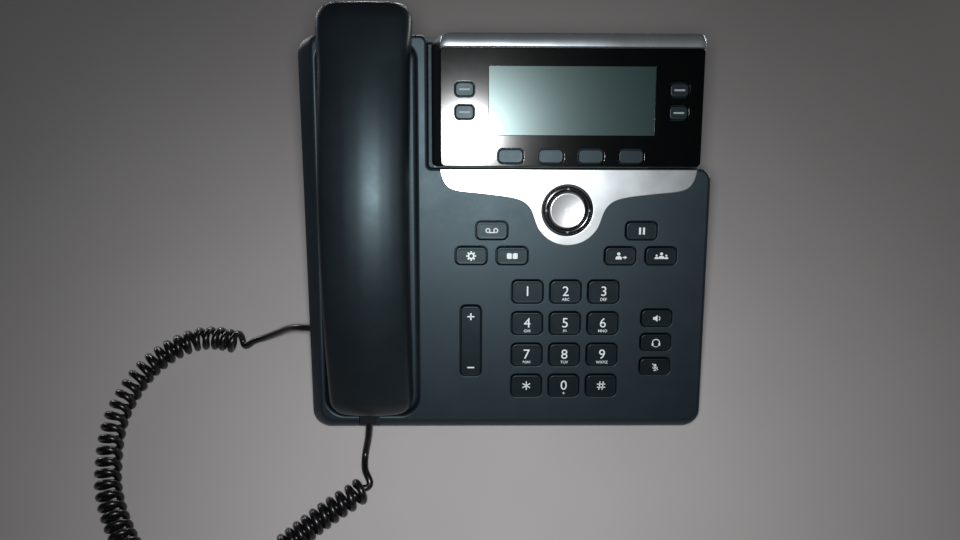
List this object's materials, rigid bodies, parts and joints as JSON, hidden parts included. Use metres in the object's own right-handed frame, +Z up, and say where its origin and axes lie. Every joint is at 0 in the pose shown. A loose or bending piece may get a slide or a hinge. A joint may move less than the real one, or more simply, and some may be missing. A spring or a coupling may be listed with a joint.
{
  "type": "desk IP phone",
  "caption": "Desk IP phone with a corded handset in a left-hand cradle, a raised screen housing, a silver navigation surround, a dial keypad and a curly cord, on a clip-on footstand.",
  "frame": {"origin": "centre of the phone's footprint on the table, cord left out", "axes": "+X to the right across the face, +Y to the back, +Z up; the face leans back 44.3 degrees from the table, rising towards +Y"},
  "size_m": [0.3204, 0.2471, 0.1733],
  "materials": {
    "charcoal_housing": "satin texture",
    "dark_frame": "satin",
    "silver_trim": "satin silver",
    "display_gloss": "high gloss",
    "lcd_glass": "unlit screen",
    "circuit_board": "solder mask",
    "keypad_rubber": "matt",
    "speaker_cone": "matt",
    "socket_plastic": "moulded",
    "rubber_feet": "matt",
    "plug_plastic": "clear moulding",
    "cord_jacket": "smooth",
    "handset_shell": "satin texture",
    "lamp_lens": "frosted",
    "key_plastic": "satin",
    "inner_plastic": "moulded",
    "ring_black": "gloss",
    "select_silver": "satin silver"
  },
  "bodies": {
    "base": {"rear_housing": "charcoal_housing", "front_housing": "charcoal_housing", "display_housing": "dark_frame", "display_trim": "silver_trim", "nav_bezel": "silver_trim", "display_lens": "display_gloss", "lcd_panel": "lcd_glass", "main_board": "circuit_board", "keypad_mat": "keypad_rubber", "loudspeaker": "speaker_cone", "footstand": "charcoal_housing", "handset_clip": "inner_plastic", "port_block": "socket_plastic", "handset_socket": "socket_plastic", "front_foot": "rubber_feet", "stand_foot": "rubber_feet", "base_plug": "plug_plastic", "cord_lead_base": "cord_jacket", "curly_cord": "cord_jacket", "cord_lead_handset": "cord_jacket"},
    "handset": {"handset_outer_shell": "handset_shell", "handset_inner_shell": "handset_shell", "handset_receiver": "speaker_cone", "handset_microphone": "speaker_cone", "handset_lamp": "lamp_lens", "handset_plug": "plug_plastic"},
    "hook_plunger": {"hook_plunger": "inner_plastic"},
    "volume_rocker": {"volume_rocker": "key_plastic"},
    "nav_pivot": {"nav_pivot": "inner_plastic"},
    "nav_ring": {"nav_ring": "ring_black"},
    "select_button": {"select_button": "select_silver"},
    "key_1": {"key_1": "key_plastic"},
    "key_2": {"key_2": "key_plastic"},
    "key_3": {"key_3": "key_plastic"},
    "key_4": {"key_4": "key_plastic"},
    "key_5": {"key_5": "key_plastic"},
    "key_6": {"key_6": "key_plastic"},
    "key_7": {"key_7": "key_plastic"},
    "key_8": {"key_8": "key_plastic"},
    "key_9": {"key_9": "key_plastic"},
    "key_star": {"key_star": "key_plastic"},
    "key_0": {"key_0": "key_plastic"},
    "key_hash": {"key_hash": "key_plastic"},
    "messages_key": {"messages_key": "key_plastic"},
    "settings_key": {"settings_key": "key_plastic"},
    "contacts_key": {"contacts_key": "key_plastic"},
    "hold_key": {"hold_key": "key_plastic"},
    "transfer_key": {"transfer_key": "key_plastic"},
    "conference_key": {"conference_key": "key_plastic"},
    "speaker_key": {"speaker_key": "key_plastic"},
    "headset_key": {"headset_key": "key_plastic"},
    "mute_key": {"mute_key": "key_plastic"},
    "line_key_1": {"line_key_1": "key_plastic"},
    "line_key_2": {"line_key_2": "key_plastic"},
    "line_key_3": {"line_key_3": "key_plastic"},
    "line_key_4": {"line_key_4": "key_plastic"},
    "soft_key_1": {"soft_key_1": "key_plastic"},
    "soft_key_2": {"soft_key_2": "key_plastic"},
    "soft_key_3": {"soft_key_3": "key_plastic"},
    "soft_key_4": {"soft_key_4": "key_plastic"}
  },
  "joints": [
    {"name": "handset_lift", "type": "slide", "parent": "base", "child": "handset", "axis": [0, -0.6984, 0.7157], "range_m": [0, 0.1]},
    {"name": "hook_travel", "type": "slide", "parent": "base", "child": "hook_plunger", "axis": [0, -0.6984, 0.7157], "range_m": [0, 0.0035]},
    {"name": "key_1_press", "type": "slide", "parent": "base", "child": "key_1", "axis": [0, 0.6984, -0.7157], "range_m": [0, 0.0012], "stiffness_N_per_m": 300, "springref_m": -0.001},
    {"name": "key_2_press", "type": "slide", "parent": "base", "child": "key_2", "axis": [0, 0.6984, -0.7157], "range_m": [0, 0.0012], "stiffness_N_per_m": 300, "springref_m": -0.001},
    {"name": "key_3_press", "type": "slide", "parent": "base", "child": "key_3", "axis": [0, 0.6984, -0.7157], "range_m": [0, 0.0012], "stiffness_N_per_m": 300, "springref_m": -0.001},
    {"name": "key_4_press", "type": "slide", "parent": "base", "child": "key_4", "axis": [0, 0.6984, -0.7157], "range_m": [0, 0.0012], "stiffness_N_per_m": 300, "springref_m": -0.001},
    {"name": "key_5_press", "type": "slide", "parent": "base", "child": "key_5", "axis": [0, 0.6984, -0.7157], "range_m": [0, 0.0012], "stiffness_N_per_m": 300, "springref_m": -0.001},
    {"name": "key_6_press", "type": "slide", "parent": "base", "child": "key_6", "axis": [0, 0.6984, -0.7157], "range_m": [0, 0.0012], "stiffness_N_per_m": 300, "springref_m": -0.001},
    {"name": "key_7_press", "type": "slide", "parent": "base", "child": "key_7", "axis": [0, 0.6984, -0.7157], "range_m": [0, 0.0012], "stiffness_N_per_m": 300, "springref_m": -0.001},
    {"name": "key_8_press", "type": "slide", "parent": "base", "child": "key_8", "axis": [0, 0.6984, -0.7157], "range_m": [0, 0.0012], "stiffness_N_per_m": 300, "springref_m": -0.001},
    {"name": "key_9_press", "type": "slide", "parent": "base", "child": "key_9", "axis": [0, 0.6984, -0.7157], "range_m": [0, 0.0012], "stiffness_N_per_m": 300, "springref_m": -0.001},
    {"name": "key_star_press", "type": "slide", "parent": "base", "child": "key_star", "axis": [0, 0.6984, -0.7157], "range_m": [0, 0.0012], "stiffness_N_per_m": 300, "springref_m": -0.001},
    {"name": "key_0_press", "type": "slide", "parent": "base", "child": "key_0", "axis": [0, 0.6984, -0.7157], "range_m": [0, 0.0012], "stiffness_N_per_m": 300, "springref_m": -0.001},
    {"name": "key_hash_press", "type": "slide", "parent": "base", "child": "key_hash", "axis": [0, 0.6984, -0.7157], "range_m": [0, 0.0012], "stiffness_N_per_m": 300, "springref_m": -0.001},
    {"name": "messages_key_press", "type": "slide", "parent": "base", "child": "messages_key", "axis": [0, 0.6984, -0.7157], "range_m": [0, 0.0012], "stiffness_N_per_m": 300, "springref_m": -0.001},
    {"name": "settings_key_press", "type": "slide", "parent": "base", "child": "settings_key", "axis": [0, 0.6984, -0.7157], "range_m": [0, 0.0012], "stiffness_N_per_m": 300, "springref_m": -0.001},
    {"name": "contacts_key_press", "type": "slide", "parent": "base", "child": "contacts_key", "axis": [0, 0.6984, -0.7157], "range_m": [0, 0.0012], "stiffness_N_per_m": 300, "springref_m": -0.001},
    {"name": "hold_key_press", "type": "slide", "parent": "base", "child": "hold_key", "axis": [0, 0.6984, -0.7157], "range_m": [0, 0.0012], "stiffness_N_per_m": 300, "springref_m": -0.001},
    {"name": "transfer_key_press", "type": "slide", "parent": "base", "child": "transfer_key", "axis": [0, 0.6984, -0.7157], "range_m": [0, 0.0012], "stiffness_N_per_m": 300, "springref_m": -0.001},
    {"name": "conference_key_press", "type": "slide", "parent": "base", "child": "conference_key", "axis": [0, 0.6984, -0.7157], "range_m": [0, 0.0012], "stiffness_N_per_m": 300, "springref_m": -0.001},
    {"name": "speaker_key_press", "type": "slide", "parent": "base", "child": "speaker_key", "axis": [0, 0.6984, -0.7157], "range_m": [0, 0.0012], "stiffness_N_per_m": 300, "springref_m": -0.001},
    {"name": "headset_key_press", "type": "slide", "parent": "base", "child": "headset_key", "axis": [0, 0.6984, -0.7157], "range_m": [0, 0.0012], "stiffness_N_per_m": 300, "springref_m": -0.001},
    {"name": "mute_key_press", "type": "slide", "parent": "base", "child": "mute_key", "axis": [0, 0.6984, -0.7157], "range_m": [0, 0.0012], "stiffness_N_per_m": 300, "springref_m": -0.001},
    {"name": "line_key_1_press", "type": "slide", "parent": "base", "child": "line_key_1", "axis": [0, 0.6984, -0.7157], "range_m": [0, 0.001], "stiffness_N_per_m": 300, "springref_m": -0.001},
    {"name": "line_key_2_press", "type": "slide", "parent": "base", "child": "line_key_2", "axis": [0, 0.6984, -0.7157], "range_m": [0, 0.001], "stiffness_N_per_m": 300, "springref_m": -0.001},
    {"name": "line_key_3_press", "type": "slide", "parent": "base", "child": "line_key_3", "axis": [0, 0.6984, -0.7157], "range_m": [0, 0.001], "stiffness_N_per_m": 300, "springref_m": -0.001},
    {"name": "line_key_4_press", "type": "slide", "parent": "base", "child": "line_key_4", "axis": [0, 0.6984, -0.7157], "range_m": [0, 0.001], "stiffness_N_per_m": 300, "springref_m": -0.001},
    {"name": "soft_key_1_press", "type": "slide", "parent": "base", "child": "soft_key_1", "axis": [0, 0.6984, -0.7157], "range_m": [0, 0.001], "stiffness_N_per_m": 300, "springref_m": -0.001},
    {"name": "soft_key_2_press", "type": "slide", "parent": "base", "child": "soft_key_2", "axis": [0, 0.6984, -0.7157], "range_m": [0, 0.001], "stiffness_N_per_m": 300, "springref_m": -0.001},
    {"name": "soft_key_3_press", "type": "slide", "parent": "base", "child": "soft_key_3", "axis": [0, 0.6984, -0.7157], "range_m": [0, 0.001], "stiffness_N_per_m": 300, "springref_m": -0.001},
    {"name": "soft_key_4_press", "type": "slide", "parent": "base", "child": "soft_key_4", "axis": [0, 0.6984, -0.7157], "range_m": [0, 0.001], "stiffness_N_per_m": 300, "springref_m": -0.001},
    {"name": "select_press", "type": "slide", "parent": "base", "child": "select_button", "axis": [0, 0.6984, -0.7157], "range_m": [0, 0.0008], "stiffness_N_per_m": 300, "springref_m": -0.001},
    {"name": "volume_rock", "type": "hinge", "parent": "base", "child": "volume_rocker", "pos_m": [-0.0189, -0.042, 0.04437], "axis": [1, 0, 0], "range_deg": [-2.5, 2.5], "stiffness_Nm_per_rad": 0.1},
    {"name": "nav_left_right", "type": "hinge", "parent": "base", "child": "nav_pivot", "pos_m": [0.03, 0.00548, 0.0935], "axis": [0, 0.7157, 0.6984], "range_deg": [-3, 3], "stiffness_Nm_per_rad": 0.1},
    {"name": "nav_up_down", "type": "hinge", "parent": "nav_pivot", "child": "nav_ring", "pos_m": [0.03, 0.00548, 0.0935], "axis": [1, 0, 0], "range_deg": [-3, 3], "stiffness_Nm_per_rad": 0.1}
  ],
  "couplings": [
    {"joint": "hook_travel", "follows": "handset_lift", "ratio": 0.035}
  ]
}
